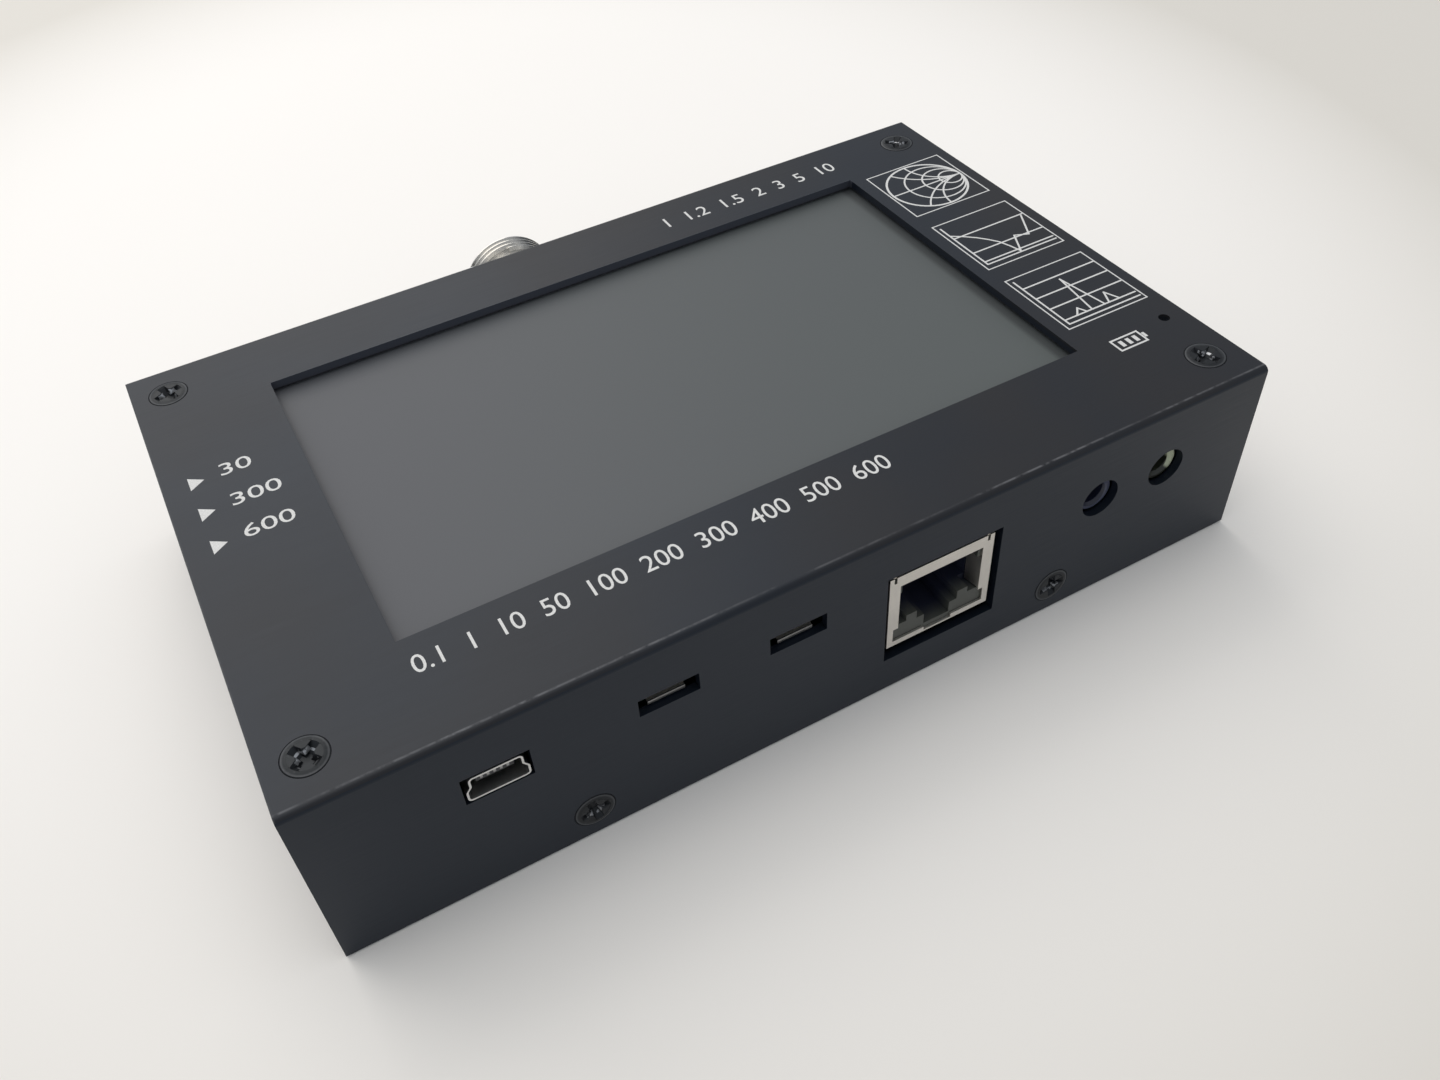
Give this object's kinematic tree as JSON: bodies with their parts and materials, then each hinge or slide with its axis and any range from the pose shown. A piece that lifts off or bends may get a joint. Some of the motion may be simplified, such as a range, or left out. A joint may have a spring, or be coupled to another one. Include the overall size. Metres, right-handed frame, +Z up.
{
  "type": "antenna analyzer",
  "caption": "Flat desk antenna analyzer: folded dark sheet case with a wide touch display, a row of front sockets and a threaded RF connector at the back.",
  "frame": {"origin": "middle of the case's underside, which rests on the table", "axes": "+X to the right along the front, +Y to the back, +Z up out of the display"},
  "size_m": [0.138, 0.1011, 0.0291],
  "materials": {
    "case_paint": "satin",
    "black_screw": "satin",
    "plated_steel": "satin",
    "plated_brass": "polished",
    "gold_contact": "polished",
    "socket_shell": "satin",
    "black_plastic": "matte",
    "housing_plastic": "matte",
    "blue_plastic": "matte",
    "navy_plastic": "matte",
    "green_plastic": "matte",
    "white_plastic": "matte",
    "board": "satin",
    "chip": "matte",
    "display_glass": "polished",
    "display_body": "satin",
    "foam": "matte",
    "battery_wrap": "satin",
    "clear_plastic": "polished",
    "tinned_wire": "satin"
  },
  "bodies": {
    "case": {"audio_socket_left": "navy_plastic", "audio_socket_right": "green_plastic", "battery": "battery_wrap", "battery_pad": "foam", "board_screws": "plated_steel", "board_spacers": "plated_steel", "board_standoffs": "plated_brass", "bottom_tray": "case_paint", "charge_led": "clear_plastic", "charge_socket_insert": "black_plastic", "charge_socket_shell": "socket_shell", "clinch_nuts": "plated_steel", "display_gasket": "foam", "front_screws": "black_screw", "header_sockets": "black_plastic", "header_strips": "black_plastic", "lcd_module": "display_body", "light_pipe": "clear_plastic", "main_board": "board", "main_chips": "chip", "micro_usb_inserts": "black_plastic", "micro_usb_shells": "socket_shell", "mini_usb_insert": "black_plastic", "mini_usb_shell": "socket_shell", "network_contacts": "gold_contact", "network_housing": "housing_plastic", "network_shell": "socket_shell", "power_board": "board", "power_board_posts": "plated_steel", "power_board_screws": "plated_steel", "power_switch_body": "black_plastic", "push_switch_bodies": "black_plastic", "rear_screws": "black_screw", "rf_board": "board", "rf_centre_contact": "gold_contact", "rf_chips": "chip", "rf_connector_body": "plated_brass", "rf_feed_wire": "tinned_wire", "rf_flange_nuts": "plated_steel", "rf_flange_screws": "plated_steel", "rf_insulator": "white_plastic", "rf_shield_can": "socket_shell", "top_cover": "case_paint", "top_screws": "black_screw", "touch_glass": "display_glass"},
    "power_lever": {"power_switch_lever": "black_plastic"},
    "user_button_body": {"user_button": "blue_plastic"},
    "reset_button_body": {"reset_button": "black_plastic"}
  },
  "joints": [
    {"name": "power_switch_slide", "type": "slide", "parent": "case", "child": "power_lever", "axis": [0, 1, 0], "range_m": [0, 0.003]},
    {"name": "user_button_press", "type": "slide", "parent": "case", "child": "user_button_body", "axis": [0, 0, 1], "range_m": [0, 0.00025], "stiffness_N_per_m": 2000},
    {"name": "reset_button_press", "type": "slide", "parent": "case", "child": "reset_button_body", "axis": [0, 0, 1], "range_m": [0, 0.00025], "stiffness_N_per_m": 2000}
  ]
}
